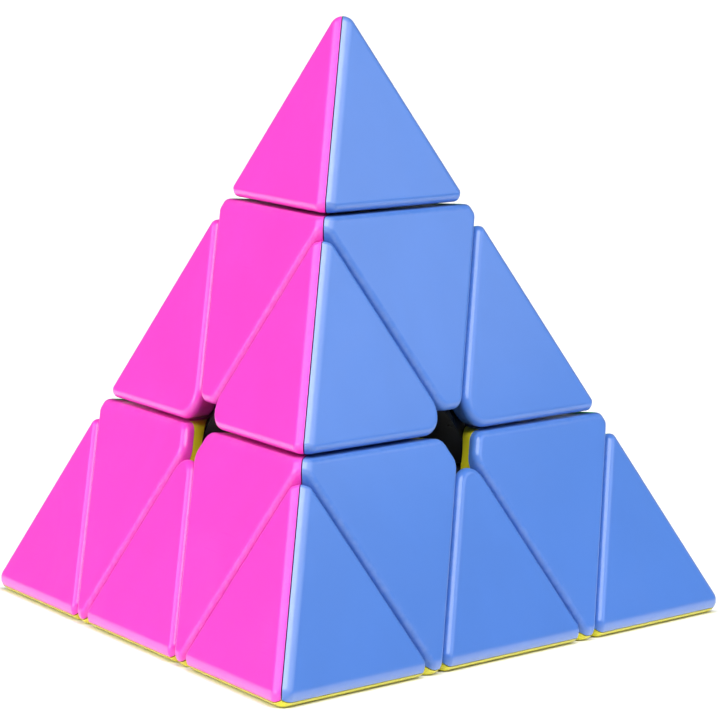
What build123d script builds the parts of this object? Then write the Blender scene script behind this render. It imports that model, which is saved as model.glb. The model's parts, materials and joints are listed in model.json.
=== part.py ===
from build123d import *
from math import sqrt
import os

# Pyramid twisty puzzle: four corner pieces, each with a clip-on tip, and six edge pieces round a
# four-armed core. The origin is the centre of the puzzle, where the four turning axes meet.

# Outer form, in millimetres
edge_length = 98.0       # between two sharp corners of the tetrahedron
outer_radius = 1.6       # rounding of its six long edges
rim_radius = 0.9         # rounding round each coloured tile
inner_edge_radius = 3.2  # rounding of an edge piece where the tiles meet in the middle of a face
base_radius = 1.7        # rounding between a corner piece's base and its sides
layers = 3
tip_depth = 0.9925       # depth of the tip cut below a corner, in layers
turn_depth = 2.0         # depth of the turning cut below a corner, in layers
base_lift = 2.75         # corner pieces stop this far above the turning cut
piece_gap = 0.36         # between neighbouring pieces
seam = 0.14              # between two colours on one piece
wall = 1.6               # of the coloured shells
fit_clearance = 0.05     # between parts that are fixed to each other

# Running surfaces of the mechanism, as distances from the centre
core_radius = 9.0
foot_inner_radius = 9.2
foot_outer_radius = 17.2
bearing_radius = 17.4    # inside of the hubs and shells that run over the feet
foot_plane = 2.0         # cut planes between the feet
foot_gap = 0.3

# Core and the screw, spring and washer of each arm
boss_radius = 3.2
boss_top = 12.0
screw_radius = 1.4
screw_bottom = 4.6
screw_hole_radius = 1.43
screw_hole_bottom = 4.0
head_radius = 2.7
head_height = 2.2
head_round = 0.8
recess_length = 3.2
recess_width = 0.7
recess_depth = 1.2
spring_radius = 2.6
wire_radius = 0.35
spring_turns = 5
spring_length = 7.9
washer_radius = 3.1
washer_bore = 1.5
washer_thickness = 0.7
stack_gap = 0.02         # between the shelf, spring, washer and head

# Hub of a corner piece
stalk_radius = 4.5
stalk_bottom = 9.5
boss_bore = 3.3
shelf_bottom = 12.2
shelf_top = 13.8
shelf_bore = 1.7
well_radius = 3.3
column_radius = 5.0
collar_radius = 4.6
collar_top = 37.6
groove_middle = 36.1
groove_width = 1.0
groove_depth = 0.35
arm_radius = 2.4
arm_length = 7.5

# Frame of a tip
cup_radius = 6.8
cup_clearance = 0.1
cup_height = 4.1
cup_roof = 1.5
bead_reach = 0.2         # how far the bead reaches inside the collar's radius
bead_width = 0.4
post_radius = 5.0
post_top = 46.0

# Foot of an edge piece
block_radius = 5.5
block_top = 29.0
neck_top = 18.0

# Pegs that hold the coloured shells
corner_peg = (1.25, 3.4)  # radius, length
tip_peg = (0.9, 2.2)
edge_peg = (0.9, 2.4)
peg_end_gap = 0.2

# Worked out from the values above
height = edge_length * sqrt(2 / 3)
face_distance = height / 4
corner_distance = 3 * height / 4
half_gap = piece_gap / 2
tip_cut = corner_distance - tip_depth * height / layers
turn_cut = corner_distance - turn_depth * height / layers
corner_top = tip_cut - half_gap
corner_side = turn_cut - half_gap
corner_base = turn_cut + base_lift
tip_base = tip_cut + half_gap
edge_side = turn_cut + half_gap
oversize = 3 * edge_length

# Outward directions of the four corners from the centre
corners = {
    "top": Vector(0, 0, 1),
    "front": Vector(0, -2 * sqrt(2) / 3, -1 / 3),
    "right": Vector(sqrt(2 / 3), sqrt(2) / 3, -1 / 3),
    "left": Vector(-sqrt(2 / 3), sqrt(2) / 3, -1 / 3),
}
top, front, right, left = corners.values()
edge_axis = (top + front).normalized()

# Each face lies opposite one corner and has one colour
face_colours = {"top": "yellow", "front": "green", "right": "pink", "left": "blue"}
side_faces = ("front", "right", "left")  # the faces that meet at the top corner
edge_faces = ("right", "left")           # the faces that meet on the edge from top to front

# Where the corners of a master piece (top, front, right, left) go for each of its copies
corner_turns = {
    "top": ("top", "front", "right", "left"),
    "front": ("front", "top", "left", "right"),
    "right": ("right", "left", "top", "front"),
    "left": ("left", "right", "front", "top"),
}
edge_turns = {
    "front_top": ("top", "front", "right", "left"),
    "right_top": ("top", "right", "left", "front"),
    "left_top": ("top", "left", "front", "right"),
    "front_right": ("front", "right", "top", "left"),
    "back": ("right", "left", "top", "front"),
    "front_left": ("left", "front", "top", "right"),
}


def below(direction, distance):
    """The half-space nearer than a plane that is this far out in this direction."""
    return (direction, distance)


def above(direction, distance):
    """The half-space further out than that plane."""
    return (-direction, -distance)


def keep(*half_spaces):
    """Trim the part in hand to what lies in every one of the half-spaces."""
    for direction, distance in half_spaces:
        split(bisect_by=Plane(origin=direction * distance, z_dir=direction), keep=Keep.BOTTOM)


def inside_faces(inset=0.0):
    """The tetrahedron, with its four faces moved inwards."""
    return [below(-direction, face_distance - inset) for direction in corners.values()]


def inside_corner(inset):
    """The body of the corner piece, with its faces, sides and top moved inwards."""
    sides = [below(corners[name], corner_side - inset) for name in side_faces]
    return [*inside_faces(inset), *sides, below(top, corner_top - inset)]


def one_colour(face, all_faces):
    """The share of a piece that has the colour of one of its faces."""
    others = [name for name in all_faces if name != face]
    return [below((corners[face] - corners[name]).normalized(), -seam / 2) for name in others]


def on_edge(start, end, depth):
    """Point between two corners of the tetrahedron, a number of layers from the first."""
    return (corners[start] + (corners[end] - corners[start]) * (depth / layers)) * corner_distance


def behind_tile(face, others, depth):
    """Plane on the inside of a face's wall behind a tile's middle, looking inwards.

    The tile has two points on lines from the top corner, and either the top corner itself
    (depth 0) or the middle of the face.
    """
    third = on_edge("top", "top", 0) if depth == 0 else corners[face] * -face_distance
    middle = (on_edge(*others[0]) + on_edge(*others[1]) + third) * (1 / 3)
    return Plane(origin=middle + corners[face] * wall, z_dir=corners[face])


def cut_edges(part, directions):
    """Edges of the flat faces that look in these directions, each of them once."""
    found = []
    for face in part.faces().filter_by(GeomType.PLANE):
        if any((face.normal_at() - direction).length < 0.001 for direction in directions):
            for edge in face.edges():
                if all((edge.center() - other.center()).length > 0.001 for other in found):
                    found.append(edge)
    return found


def is_base_round(edge):
    """Whether this is a long edge of the rounding between the corner piece's base and sides."""
    return edge.length > edge_length / layers / 2 and edge.center().Z < corner_base + base_radius


def inner_edge(part):
    """The edge of the edge piece's form, or of its hollow, that lies nearest the centre."""
    return part.edges().sort_by(lambda edge: edge.center().dot(edge_axis))[0]


def rod(plane, radius, length, mode=Mode.ADD):
    """Round rod or hole from a plane, in the part in hand."""
    with BuildSketch(plane) as disc:
        Circle(radius)
    extrude(disc.sketch, amount=length, mode=mode)


def placed(part, turn):
    """Copy of a master piece, turned so that its four corners go to the named ones."""
    axis, _, first, second = (corners[name] for name in turn)
    return Plane(origin=(0, 0, 0), x_dir=first - second, z_dir=axis).location * part


def save(part, label):
    """Write one finished piece."""
    part.label = label
    export_step(part, f"parts/{label}.step")


def corner_tile(face):
    """Plane behind the corner piece's tile on one face."""
    points = [("top", name, 1) for name in side_faces if name != face]
    return behind_tile(face, points, 2)


def tip_tile(face):
    """Plane behind the tip's tile on one face."""
    points = [("top", name, 1) for name in side_faces if name != face]
    return behind_tile(face, points, 0)


def edge_tile(face):
    """Plane behind the edge piece's tile on one face."""
    return behind_tile(face, [("top", "front", 1), ("top", "front", 2)], 2)


# Outer form: a tetrahedron with rounded edges
with BuildPart() as tetrahedron:
    Box(oversize, oversize, oversize)
    keep(*inside_faces())
    fillet(tetrahedron.edges(), outer_radius)


# Corner piece at the top: a hub and three coloured shells
with BuildPart() as corner_form:
    add(tetrahedron.part)
    keep(below(top, corner_top), above(top, corner_base))
    keep(*(below(corners[name], corner_side) for name in side_faces))
    base_edges = corner_form.faces().sort_by(Axis.Z)[0].edges()
    fillet(base_edges.filter_by(lambda edge: edge.length > edge_length / layers / 2), base_radius)
    rims = cut_edges(corner_form, [top, -top, front, right, left])
    fillet([edge for edge in rims if not is_base_round(edge)], rim_radius)

with BuildPart() as corner_hollow:
    Box(oversize, oversize, oversize)
    keep(*inside_corner(wall))

with BuildPart() as base_room:
    Box(oversize, oversize, oversize)
    keep(below(top, corner_base + wall + fit_clearance), *inside_faces(wall))


def corner_cap(face):
    """Coloured shell of one face of the corner piece, with its peg."""
    with BuildPart() as cap:
        add(corner_form.part)
        add(corner_hollow.part, mode=Mode.SUBTRACT)
        add(base_room.part, mode=Mode.SUBTRACT)
        Sphere(bearing_radius, mode=Mode.SUBTRACT)
        Cylinder(collar_radius + fit_clearance, oversize, mode=Mode.SUBTRACT)
        keep(*one_colour(face, side_faces))
        rod(corner_tile(face), *corner_peg)
    return cap.part


with BuildPart() as hub_base:  # plate that closes the shells' base
    add(corner_form.part)
    keep(below(top, corner_base + wall), *inside_faces(wall + fit_clearance))

with BuildPart() as hub_dish:  # dish over the feet of the edge pieces, and arms to the shells
    Sphere(bearing_radius + wall)
    for face in side_faces:
        rod(corner_tile(face), arm_radius, arm_length)
    keep(above(top, corner_base), *inside_corner(wall + fit_clearance))

with BuildPart() as hub:
    add(hub_base.part)
    add(hub_dish.part)
    Sphere(bearing_radius, mode=Mode.SUBTRACT)
    with BuildSketch(Plane.XZ):
        with BuildLine():
            Polyline(
                (0, stalk_bottom),
                (stalk_radius, stalk_bottom),
                (stalk_radius, bearing_radius),
                (column_radius, bearing_radius + wall),
                (column_radius, corner_top - wall - fit_clearance),
                (collar_radius, corner_top - wall - fit_clearance),
                (collar_radius, groove_middle - groove_width / 2),
                (collar_radius - groove_depth, groove_middle - groove_width / 2),
                (collar_radius - groove_depth, groove_middle + groove_width / 2),
                (collar_radius, groove_middle + groove_width / 2),
                (collar_radius, collar_top),
                (0, collar_top),
                close=True,
            )
        make_face()
    revolve(axis=Axis.Z)
    rod(Plane.XY, boss_bore, shelf_bottom, mode=Mode.SUBTRACT)
    rod(Plane.XY, shelf_bore, shelf_top, mode=Mode.SUBTRACT)
    rod(Plane.XY.offset(shelf_top), well_radius, collar_top, mode=Mode.SUBTRACT)
    for face in side_faces:
        rod(corner_tile(face), corner_peg[0] + fit_clearance, corner_peg[1] + peg_end_gap,
            mode=Mode.SUBTRACT)


# Tip at the top: a frame that snaps on the hub's collar, and three coloured shells
with BuildPart() as tip_form:
    add(tetrahedron.part)
    keep(above(top, tip_base))
    fillet(cut_edges(tip_form, [-top]), rim_radius)

with BuildPart() as tip_hollow:
    Box(oversize, oversize, oversize)
    keep(*inside_faces(wall))


def tip_cap(face):
    """Coloured shell of one face of the tip, with its peg."""
    with BuildPart() as cap:
        add(tip_form.part)
        add(tip_hollow.part, mode=Mode.SUBTRACT)
        keep(*one_colour(face, side_faces))
        rod(tip_tile(face), *tip_peg)
    return cap.part


with BuildPart() as tip_frame:
    cup_bore = collar_radius + cup_clearance
    bead_radius = collar_radius - bead_reach
    bead_slope = cup_bore - bead_radius
    roof = tip_base + cup_height
    rod(Plane.XY.offset(tip_base), edge_length / 2, wall)
    rod(Plane.XY.offset(tip_base), cup_radius, cup_height + cup_roof)
    rod(Plane.XY.offset(roof), post_radius, post_top - roof)
    keep(*inside_faces(wall + fit_clearance))
    with BuildSketch(Plane.XZ):
        with BuildLine():
            Polyline(
                (0, 0),
                (cup_bore, 0),
                (cup_bore, groove_middle - bead_width / 2 - bead_slope),
                (bead_radius, groove_middle - bead_width / 2),
                (bead_radius, groove_middle + bead_width / 2),
                (cup_bore, groove_middle + bead_width / 2 + bead_slope),
                (cup_bore, roof),
                (0, roof),
                close=True,
            )
        make_face()
    revolve(axis=Axis.Z, mode=Mode.SUBTRACT)
    for face in side_faces:
        rod(tip_tile(face), tip_peg[0] + fit_clearance, tip_peg[1] + peg_end_gap,
            mode=Mode.SUBTRACT)


# Edge piece from top to front: a foot that runs round the core, and two coloured shells
with BuildPart() as edge_form:
    add(tetrahedron.part)
    keep(above(top, edge_side), above(front, edge_side))
    fillet(inner_edge(edge_form), inner_edge_radius)
    rims = cut_edges(edge_form, [-top, -front])
    fillet([edge for edge in rims if abs(edge.center().X) > rim_radius], rim_radius)

with BuildPart() as edge_hollow:
    Box(oversize, oversize, oversize)
    keep(above(top, edge_side + wall), above(front, edge_side + wall), *inside_faces(wall))
    fillet(inner_edge(edge_hollow), inner_edge_radius - wall)


def edge_cap(face):
    """Coloured shell of one face of the edge piece, with its peg and a slot for the neck."""
    with BuildPart() as cap:
        add(edge_form.part)
        add(edge_hollow.part, mode=Mode.SUBTRACT)
        Sphere(bearing_radius, mode=Mode.SUBTRACT)
        rod(Plane(origin=(0, 0, 0), z_dir=edge_axis), block_radius + fit_clearance,
            neck_top + fit_clearance, mode=Mode.SUBTRACT)
        keep(*one_colour(face, edge_faces))
        rod(edge_tile(face), *edge_peg)
    return cap.part


with BuildPart() as foot_neck:
    rod(Plane(origin=(0, 0, 0), z_dir=edge_axis), block_radius, neck_top)
    keep(above(top, edge_side), above(front, edge_side))

with BuildPart() as foot_block:
    rod(Plane(origin=(0, 0, 0), z_dir=edge_axis), block_radius, block_top)
    block_side = edge_side + wall + fit_clearance
    keep(above(top, block_side), above(front, block_side), *inside_faces(wall + fit_clearance))

with BuildPart() as edge_foot:
    Sphere(foot_outer_radius)
    keep(above(top, foot_plane + foot_gap / 2), above(front, foot_plane + foot_gap / 2))
    keep(below(right, foot_plane - foot_gap / 2), below(left, foot_plane - foot_gap / 2))
    add(foot_neck.part)
    add(foot_block.part)
    Sphere(foot_inner_radius, mode=Mode.SUBTRACT)
    for face in edge_faces:
        rod(edge_tile(face), edge_peg[0] + fit_clearance, edge_peg[1] + peg_end_gap,
            mode=Mode.SUBTRACT)


# Core: a ball with four bosses for the screws
with BuildPart() as core:
    Sphere(core_radius)
    for direction in corners.values():
        rod(Plane(origin=(0, 0, 0), z_dir=direction), boss_radius, boss_top)
    for direction in corners.values():
        rod(Plane(origin=direction * screw_hole_bottom, z_dir=direction), screw_hole_radius,
            boss_top, mode=Mode.SUBTRACT)


# Screw, spring and washer of one arm, stacked on the shelf of its hub
spring_bottom = shelf_top + stack_gap
washer_bottom = spring_bottom + spring_length + stack_gap
head_bottom = washer_bottom + washer_thickness + stack_gap
head_top = head_bottom + head_height

with BuildPart() as screw:
    rod(Plane.XY.offset(screw_bottom), screw_radius, head_bottom - screw_bottom)
    rod(Plane.XY.offset(head_bottom), head_radius, head_height)
    fillet(screw.edges().group_by(Axis.Z)[-1], head_round)
    with BuildSketch(Plane.XY.offset(head_top)):
        Rectangle(recess_length, recess_width)
        Rectangle(recess_width, recess_length)
    extrude(amount=-recess_depth, mode=Mode.SUBTRACT)

with BuildPart() as spring:
    coil_height = spring_length - 2 * wire_radius
    with BuildLine() as coil:
        Helix(coil_height / spring_turns, coil_height, spring_radius,
              center=(0, 0, spring_bottom + wire_radius))
    with BuildSketch(Plane(origin=coil.line @ 0, z_dir=coil.line % 0)):
        Circle(wire_radius)
    sweep(is_frenet=True)

with BuildPart() as washer:
    rod(Plane.XY.offset(washer_bottom), washer_radius, washer_thickness)
    rod(Plane.XY, washer_bore, head_bottom, mode=Mode.SUBTRACT)


def all_round(part):
    """The same part on each of the four arms of the core, as separate solids."""
    with BuildPart() as group:
        for turn in corner_turns.values():
            add(placed(part, turn))
    return group.part


os.makedirs("parts", exist_ok=True)

save(core.part, "core")
save(all_round(screw.part), "corner_screws")
save(all_round(spring.part), "corner_springs")
save(all_round(washer.part), "corner_washers")

corner_caps = {face: corner_cap(face) for face in side_faces}
tip_caps = {face: tip_cap(face) for face in side_faces}
edge_caps = {face: edge_cap(face) for face in edge_faces}

for name, turn in corner_turns.items():
    target = dict(zip(corners, turn))
    save(placed(hub.part, turn), f"{name}_hub")
    save(placed(tip_frame.part, turn), f"{name}_tip_frame")
    for face in side_faces:
        colour = face_colours[target[face]]
        save(placed(corner_caps[face], turn), f"{name}_cap_{colour}")
        save(placed(tip_caps[face], turn), f"{name}_tip_{colour}")

for name, turn in edge_turns.items():
    target = dict(zip(corners, turn))
    save(placed(edge_foot.part, turn), f"{name}_foot")
    for face in edge_faces:
        save(placed(edge_caps[face], turn), f"{name}_cap_{face_colours[target[face]]}")
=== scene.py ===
import json
from math import radians, sqrt

import bpy
from mathutils import Matrix, Vector


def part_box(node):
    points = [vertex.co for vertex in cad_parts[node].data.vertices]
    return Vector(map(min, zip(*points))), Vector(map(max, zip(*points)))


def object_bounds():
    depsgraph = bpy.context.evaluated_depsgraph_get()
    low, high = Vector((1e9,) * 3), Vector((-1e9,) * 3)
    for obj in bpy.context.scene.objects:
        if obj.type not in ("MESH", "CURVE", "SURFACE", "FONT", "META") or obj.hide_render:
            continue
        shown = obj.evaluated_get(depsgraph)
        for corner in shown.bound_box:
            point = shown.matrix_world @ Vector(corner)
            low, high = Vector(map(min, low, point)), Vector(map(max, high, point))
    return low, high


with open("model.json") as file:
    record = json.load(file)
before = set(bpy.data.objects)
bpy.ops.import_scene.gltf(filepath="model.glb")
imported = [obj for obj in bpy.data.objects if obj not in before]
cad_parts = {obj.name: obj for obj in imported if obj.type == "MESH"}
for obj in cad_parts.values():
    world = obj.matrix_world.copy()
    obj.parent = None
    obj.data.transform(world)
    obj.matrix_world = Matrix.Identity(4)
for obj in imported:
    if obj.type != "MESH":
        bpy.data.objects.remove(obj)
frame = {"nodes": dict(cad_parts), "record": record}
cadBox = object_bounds()
nodes = frame["nodes"]

mm = 0.001


# Camera: a long lens, a little to the right of the front edge and a little above the table
cameraView = {
    "place": (0.0654, -0.5987, 0.0805),
    "forward": (-0.10340, 0.98862, -0.10923),
    "up": (-0.02714, 0.10697, 0.99389),
    "lens": 244.5,
    "sensor": 36,
    "near": 0.01,
    "far": 20,
}


def makeCamera(view):
    data = bpy.data.cameras.new("camera")
    data.lens = view["lens"]
    data.sensor_width = view["sensor"]
    data.clip_start = view["near"]
    data.clip_end = view["far"]
    camera = bpy.data.objects.new("camera", data)
    bpy.context.scene.collection.objects.link(camera)
    back = -Vector(view["forward"]).normalized()
    side = Vector(view["up"]).cross(back).normalized()
    turn = Matrix((side, back.cross(side), back)).transposed()
    camera.matrix_world = Matrix.Translation(view["place"]) @ turn.to_4x4()
    bpy.context.scene.camera = camera


makeCamera(cameraView)


# Studio: a white table, a dim room, wide soft lamps and one card beside the puzzle
studio = {
    "roomLow": 0.12,
    "roomHigh": 0.40,
    "roomRise": 0.9,  # how high the room's glow still grows, as the height of a direction
    "tableColour": (0.96, 0.96, 0.96),
    "tableShade": (0.94, 0.94, 0.94),
    "tableSize": 6.0,
    "tableNoise": (1500.0, 2.0),
    "tableRange": (0.3, 0.7),
    "tableRoughness": 0.7,
    "suns": [  # name, direction it shines from, width in degrees, strength
        ("keyLamp", (0.14, -0.40, 0.90), 48, 3.0),
        ("rightLamp", (0.76, -0.30, 0.56), 50, 0.9),
        ("leftLamp", (-0.80, -0.26, 0.52), 56, 1.5),
        ("lowLeftLamp", (-0.86, -0.46, 0.10), 40, 1.0),
    ],
    "card": ("sideCard", (0.50, 0.14, 0.32), 0.34, 0.5),  # name, place, size, power
}


def makeRoom(values):
    room = bpy.data.worlds.new("studioRoom")
    room.use_nodes = True
    tree = room.node_tree
    glow = tree.nodes["Background"]
    direction = tree.nodes.new("ShaderNodeTexCoord")
    split = tree.nodes.new("ShaderNodeSeparateXYZ")
    rise = tree.nodes.new("ShaderNodeMapRange")
    rise.inputs["From Min"].default_value = 0.0
    rise.inputs["From Max"].default_value = values["roomRise"]
    rise.inputs["To Min"].default_value = values["roomLow"]
    rise.inputs["To Max"].default_value = values["roomHigh"]
    tree.links.new(direction.outputs["Generated"], split.inputs[0])
    tree.links.new(split.outputs["Z"], rise.inputs["Value"])
    tree.links.new(rise.outputs[0], glow.inputs["Strength"])
    bpy.context.scene.world = room


def makeLamp(name, kind, place):
    data = bpy.data.lights.new(name, kind)
    lamp = bpy.data.objects.new(name, data)
    bpy.context.scene.collection.objects.link(lamp)
    lamp.location = place
    lamp.rotation_mode = "QUATERNION"
    lamp.rotation_quaternion = Vector(place).to_track_quat("Z", "Y")
    return data


def makeSun(name, place, width, strength):
    data = makeLamp(name, "SUN", place)
    data.angle = radians(width)
    data.energy = strength


def makeCard(name, place, size, power):
    data = makeLamp(name, "AREA", place)
    data.shape = "SQUARE"
    data.size = size
    data.energy = power


makeRoom(studio)
for values in studio["suns"]:
    makeSun(*values)
makeCard(*studio["card"])
bpy.context.scene.view_settings.view_transform = "Standard"
print("studio made")


# Small helpers for node trees
class Tree:
    def __init__(self, tree):
        self.tree = tree

    def add(self, kind, settings=None, **inputs):
        node = self.tree.nodes.new(kind)
        for key, value in (settings or {}).items():
            setattr(node, key, value)
        for key, value in inputs.items():
            self.feed(node.inputs[key.replace("_", " ")], value)
        return node

    def feed(self, socket, value):
        if isinstance(value, bpy.types.NodeSocket):
            self.tree.links.new(value, socket)
        elif value is not None:
            socket.default_value = value

    def maths(self, operation, first, second=None, third=None):
        node = self.add("ShaderNodeMath", {"operation": operation})
        for socket, value in zip(node.inputs, (first, second, third)):
            self.feed(socket, value)
        return node.outputs[0]

    def ramp(self, value, low, high, toLow=0.0, toHigh=1.0):
        node = self.add("ShaderNodeMapRange", {"interpolation_type": "SMOOTHSTEP"})
        for socket, given in zip(node.inputs, (value, low, high, toLow, toHigh)):
            self.feed(socket, given)
        return node.outputs[0]

    def noise(self, position, scale, detail=2.0, roughness=0.5, distortion=0.0):
        node = self.add("ShaderNodeTexNoise", None, Vector=position, Scale=scale, Detail=detail,
                        Roughness=roughness, Distortion=distortion)
        return node.outputs["Fac"]

    def blend(self, factor, first, second):
        node = self.add("ShaderNodeMix", {"data_type": "RGBA"})
        self.feed(node.inputs[0], factor)
        self.feed(node.inputs[6], first)
        self.feed(node.inputs[7], second)
        return node.outputs[2]


def newGroup(name, inputs, outputs):
    group = bpy.data.node_groups.new(name, "ShaderNodeTree")
    for label, kind, value in inputs:
        socket = group.interface.new_socket(name=label, in_out="INPUT", socket_type=kind)
        if value is not None:
            socket.default_value = value
    for label, kind in outputs:
        group.interface.new_socket(name=label, in_out="OUTPUT", socket_type=kind)
    start = group.nodes.new("NodeGroupInput")
    end = group.nodes.new("NodeGroupOutput")
    return group, Tree(group), start, end


number = "NodeSocketFloat"
vector = "NodeSocketVector"


# Where the puzzle's edges run, worked out from its four corner directions
edgeLines = {
    "directions": [
        (0.0, 0.0, 1.0),
        (0.0, -2 * sqrt(2) / 3, -1 / 3),
        (sqrt(2 / 3), sqrt(2) / 3, -1 / 3),
        (-sqrt(2 / 3), sqrt(2) / 3, -1 / 3),
    ],
    "rimStart": 0.25 * mm,   # from the middle of a gap
    "rimEnd": 1.1 * mm,
    "edgeStart": 0.3 * mm,   # from a sharp long edge, across a face
    "edgeEnd": 2.4 * mm,
}


# Distances from the centre of the tip cut and the turning cut, read from the frame
def cutPlanes():
    tipCut = (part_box("top_tip_blue")[0].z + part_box("top_cap_blue")[1].z) / 2
    turnCut = (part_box("front_top_cap_blue")[0].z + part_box("front_cap_blue")[1].z) / 2
    return tipCut, turnCut


# Masks along the rims of the tiles and along the six long edges
def makeEdgeGroup(values):
    group, tree, start, end = newGroup(
        "puzzleEdges",
        [("Position", vector, None)],
        [("Rim", number), ("Long Edge", number)],
    )
    depths = []
    for direction in values["directions"]:
        dot = tree.add("ShaderNodeVectorMath", {"operation": "DOT_PRODUCT"})
        tree.feed(dot.inputs[0], start.outputs["Position"])
        tree.feed(dot.inputs[1], direction)
        depths.append(dot.outputs["Value"])
    nearest = None
    for depth in depths:
        for cut in cutPlanes():
            away = tree.maths("ABSOLUTE", tree.maths("SUBTRACT", depth, cut))
            nearest = away if nearest is None else tree.maths("MINIMUM", nearest, away)
    tree.feed(end.inputs["Rim"], tree.ramp(nearest, values["rimStart"], values["rimEnd"], 1.0, 0.0))
    faceDistance = -cadBox[0].z
    outermost = None
    for first in range(4):
        for second in range(first + 1, 4):
            pair = tree.maths("ADD", depths[first], depths[second])
            outermost = pair if outermost is None else tree.maths("MINIMUM", outermost, pair)
    slope = 2 * sqrt(2) / 3  # of the sum of two depths, across a face away from the edge
    low, high = (slope * values[key] - 2 * faceDistance for key in ("edgeStart", "edgeEnd"))
    tree.feed(end.inputs["Long Edge"], tree.ramp(outermost, low, high, 1.0, 0.0))
    return group


# Moulded plastic: slow unevenness, fine grain and a slight drift of tone
mouldSurface = {
    "grainSize": 0.2 * mm,
    "waveSize": 9 * mm,
    "grainNoise": (3.0, 0.6),              # detail, roughness
    "waveNoise": (1.0, 0.4),
    "driftNoise": (45.0, 3.0, 0.55, 0.6),  # scale, detail, roughness, distortion
    "driftRange": (0.3, 0.7),
}


def makeMouldGroup(values):
    group, tree, start, end = newGroup(
        "mouldedSurface",
        [("Position", vector, None), ("Grain Size", number, values["grainSize"]),
         ("Wave Size", number, values["waveSize"])],
        [("Grain", number), ("Waves", number), ("Tone", number)],
    )
    position = start.outputs["Position"]
    fineScale = tree.maths("DIVIDE", 1.0, start.outputs["Grain Size"])
    slowScale = tree.maths("DIVIDE", 1.0, start.outputs["Wave Size"])
    fine = tree.noise(position, fineScale, *values["grainNoise"])
    slow = tree.noise(position, slowScale, *values["waveNoise"])
    drift = tree.noise(position, *values["driftNoise"])
    tree.feed(end.inputs["Grain"], fine)
    tree.feed(end.inputs["Waves"], slow)
    tree.feed(end.inputs["Tone"], tree.ramp(drift, *values["driftRange"]))
    return group


# Marks of use: smudges from fingers, and hairline scratches in three directions
handlingMarks = {
    "smudgeNoise": (70.0, 4.0, 0.6, 1.2),  # scale, detail, roughness, distortion
    "smudgeRange": (0.48, 0.68),
    "scratchTurns": ((0.3, 0.9, 0.2), (1.2, -0.4, 0.8), (-0.7, 0.5, 1.9)),
    "scratchScale": (60.0, 60.0, 5200.0),  # long one way and thin the other two ways
    "scratchNoise": (1.0, 1.0, 0.5, 0.15),
    "scratchRange": (0.70, 0.76),
    "patchNoise": (120.0, 2.0),
    "patchFade": 0.2,
}


def makeHandlingGroup(values):
    group, tree, start, end = newGroup(
        "handlingMarks",
        [("Position", vector, None), ("Scratch Spread", number, 0.5)],
        [("Smudge", number), ("Scratch", number)],
    )
    position = start.outputs["Position"]
    large = tree.noise(position, *values["smudgeNoise"])
    tree.feed(end.inputs["Smudge"], tree.ramp(large, *values["smudgeRange"]))
    lines = None
    for turn in values["scratchTurns"]:
        mapping = tree.add("ShaderNodeMapping", None, Vector=position, Rotation=turn,
                           Scale=values["scratchScale"])
        streak = tree.noise(mapping.outputs[0], *values["scratchNoise"])
        line = tree.ramp(streak, *values["scratchRange"])
        lines = line if lines is None else tree.maths("MAXIMUM", lines, line)
    spread = start.outputs["Scratch Spread"]
    patch = tree.ramp(tree.noise(position, *values["patchNoise"]), spread,
                      tree.maths("ADD", spread, values["patchFade"]))
    tree.feed(end.inputs["Scratch"], tree.maths("MULTIPLY", lines, patch))
    return group


edgeGroup = makeEdgeGroup(edgeLines)
mouldGroup = makeMouldGroup(mouldSurface)
handlingGroup = makeHandlingGroup(handlingMarks)


def newMaterial(name):
    material = bpy.data.materials.new(name)
    material.use_nodes = True
    tree = Tree(material.node_tree)
    shader = material.node_tree.nodes["Principled BSDF"]
    place = tree.add("ShaderNodeTexCoord").outputs["Object"]
    return material, tree, shader, place


def roughen(tree, shader, height):
    bump = tree.add("ShaderNodeBump", None, Strength=1.0, Distance=1.0, Height=height)
    tree.feed(shader.inputs["Normal"], bump.outputs[0])


def placeGroup(tree, group, **inputs):
    node = tree.add("ShaderNodeGroup", {"node_tree": group})
    for key, value in inputs.items():
        tree.feed(node.inputs[key.replace("_", " ")], value)
    return node


# Coloured shells: glossy moulded plastic, coloured through
shellFinish = {
    "colours": {
        "pink": (0.90, 0.062, 0.57),
        "blue": (0.078, 0.208, 0.63),
        "yellow": (0.82, 0.75, 0.02),
        "green": (0.05, 0.60, 0.14),
    },
    "roughness": 0.28,
    "smudgeRoughness": 0.07,
    "scratchRoughness": 0.16,
    "grainHeight": 0.0025 * mm,
    "waveHeight": 0.035 * mm,
    "toneDrift": 0.05,
    "rimWear": 0.05,
    "edgeWear": 0.05,
    # painted highlight: how far each colour's long rounded edges are paled towards white, standing in
    # for the lamps' reflection on the edge fillets
    "paintedEdgeHighlight": {"pink": 0.04, "blue": 0.5, "yellow": 0.2, "green": 0.2},
    "scratchSpread": 0.52,
    "scratchDepth": 0.002 * mm,
    "wearNoise": (900.0, 3.0, 0.65),  # scale, detail, roughness
    "wearRange": (0.42, 0.62),
    "wornRoughness": 0.5,
    "paleness": 0.55,                 # of worn places and of the painted edge highlight, towards white
}


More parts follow.
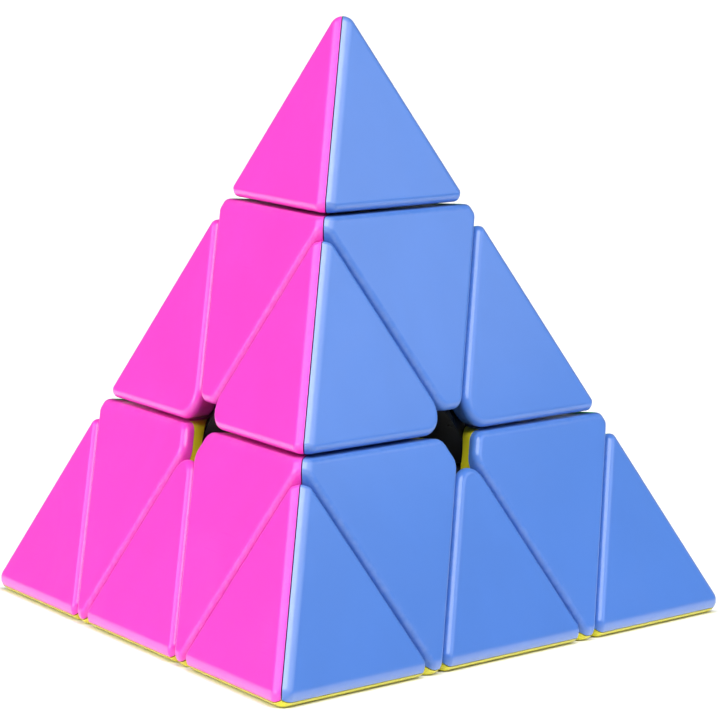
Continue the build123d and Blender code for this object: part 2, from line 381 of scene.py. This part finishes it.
def makeShellPlastic(name, colour, edgeHighlightAmount, values):
    material, tree, shader, place = newMaterial(name)
    edges = placeGroup(tree, edgeGroup, Position=place)
    mould = placeGroup(tree, mouldGroup, Position=place)
    marks = placeGroup(tree, handlingGroup, Position=place, Scratch_Spread=values["scratchSpread"])
    darker = tuple(part * (1 - values["toneDrift"]) for part in colour)
    body = tree.blend(mould.outputs["Tone"], (*darker, 1), (*colour, 1))
    patchy = tree.ramp(tree.noise(place, *values["wearNoise"]), *values["wearRange"])
    rim = tree.maths("MULTIPLY", edges.outputs["Rim"], values["rimWear"])
    edge = tree.maths("MULTIPLY", edges.outputs["Long Edge"], values["edgeWear"])
    worn = tree.maths("MULTIPLY", tree.maths("MAXIMUM", rim, edge), patchy)
    pale = tuple(part + (1 - part) * values["paleness"] for part in colour)
    body = tree.blend(worn, body, (*pale, 1))
    # Painted highlight: the long rounded edges are paled towards white, most on the blue, in place of
    # the lamps' reflection there
    paintedHighlight = tree.maths("MULTIPLY", edges.outputs["Long Edge"], edgeHighlightAmount)
    tree.feed(shader.inputs["Base Color"], tree.blend(paintedHighlight, body, (*pale, 1)))
    smudged = tree.maths("MULTIPLY_ADD", marks.outputs["Smudge"], values["smudgeRoughness"],
                         values["roughness"])
    scratched = tree.maths("MULTIPLY_ADD", marks.outputs["Scratch"], values["scratchRoughness"], smudged)
    tree.feed(shader.inputs["Roughness"],
              tree.maths("MULTIPLY_ADD", worn, values["wornRoughness"], scratched))
    height = tree.maths("MULTIPLY", mould.outputs["Waves"], values["waveHeight"])
    height = tree.maths("MULTIPLY_ADD", mould.outputs["Grain"], values["grainHeight"], height)
    height = tree.maths("MULTIPLY_ADD", marks.outputs["Scratch"], -values["scratchDepth"], height)
    roughen(tree, shader, height)
    shader.inputs["IOR"].default_value = 1.5
    shader.inputs["Specular IOR Level"].default_value = 0.35
    shader.inputs["Coat Weight"].default_value = 0.4
    shader.inputs["Coat Roughness"].default_value = 0.15
    return material


# Mechanism plastic: black, matt, a little greased
innerFinish = {
    "colour": (0.008, 0.008, 0.009),
    "light": (0.016, 0.016, 0.018),
    "roughness": 0.42,
    "greaseRoughness": -0.16,
    "grainHeight": 0.008 * mm,
    "grainSize": 0.35 * mm,
    "waveSize": 5 * mm,
}


def makeInnerPlastic(name, values):
    material, tree, shader, place = newMaterial(name)
    mould = placeGroup(tree, mouldGroup, Position=place, Grain_Size=values["grainSize"],
                       Wave_Size=values["waveSize"])
    marks = placeGroup(tree, handlingGroup, Position=place)
    body = tree.blend(mould.outputs["Tone"], (*values["colour"], 1), (*values["light"], 1))
    tree.feed(shader.inputs["Base Color"], body)
    tree.feed(shader.inputs["Roughness"],
              tree.maths("MULTIPLY_ADD", marks.outputs["Smudge"], values["greaseRoughness"],
                         values["roughness"]))
    height = tree.maths("MULTIPLY", mould.outputs["Grain"], values["grainHeight"])
    roughen(tree, shader, height)
    return material


# Screws, springs and washers: zinc-plated steel
steelFinish = {
    "colour": (0.55, 0.56, 0.58),
    "dull": (0.38, 0.38, 0.39),
    "roughness": 0.28,
    "scratchRoughness": 0.2,
    "grainHeight": 0.002 * mm,
    "grainSize": 0.12 * mm,
    "waveSize": 2 * mm,
    "scratchSpread": 0.40,
}


def makeSteel(name, values):
    material, tree, shader, place = newMaterial(name)
    mould = placeGroup(tree, mouldGroup, Position=place, Grain_Size=values["grainSize"],
                       Wave_Size=values["waveSize"])
    marks = placeGroup(tree, handlingGroup, Position=place, Scratch_Spread=values["scratchSpread"])
    body = tree.blend(mould.outputs["Waves"], (*values["dull"], 1), (*values["colour"], 1))
    tree.feed(shader.inputs["Base Color"], body)
    tree.feed(shader.inputs["Roughness"],
              tree.maths("MULTIPLY_ADD", marks.outputs["Scratch"], values["scratchRoughness"],
                         values["roughness"]))
    height = tree.maths("MULTIPLY", mould.outputs["Grain"], values["grainHeight"])
    roughen(tree, shader, height)
    shader.inputs["Metallic"].default_value = 1.0
    return material


finishes = {
    f"{name}_plastic": makeShellPlastic(f"{name}Plastic", colour, shellFinish["paintedEdgeHighlight"][name],
                                        shellFinish)
    for name, colour in shellFinish["colours"].items()
}
finishes["inner_plastic"] = makeInnerPlastic("innerPlastic", innerFinish)
finishes["steel"] = makeSteel("zincSteel", steelFinish)


def dressNode(node, material):
    node.data.materials.clear()
    node.data.materials.append(material)


slots = {part["node"]: part["material_slot"] for part in frame["record"]["subparts"]}
for name, node in nodes.items():
    dressNode(node, finishes[slots[name]])
print("nodes dressed:", len(slots))


# Table
def makeTable(values):
    half = values["tableSize"] / 2
    mesh = bpy.data.meshes.new("table")
    height = cadBox[0].z
    mesh.from_pydata([(-half, -half, height), (half, -half, height), (half, half, height),
                      (-half, half, height)], [], [(0, 1, 2, 3)])
    table = bpy.data.objects.new("table", mesh)
    bpy.context.scene.collection.objects.link(table)
    material, tree, shader, place = newMaterial("tablePaper")
    tone = tree.ramp(tree.noise(place, *values["tableNoise"]), *values["tableRange"])
    tree.feed(shader.inputs["Base Color"],
              tree.blend(tone, (*values["tableShade"], 1), (*values["tableColour"], 1)))
    shader.inputs["Roughness"].default_value = values["tableRoughness"]
    table.data.materials.append(material)


makeTable(studio)

print("scene ready")
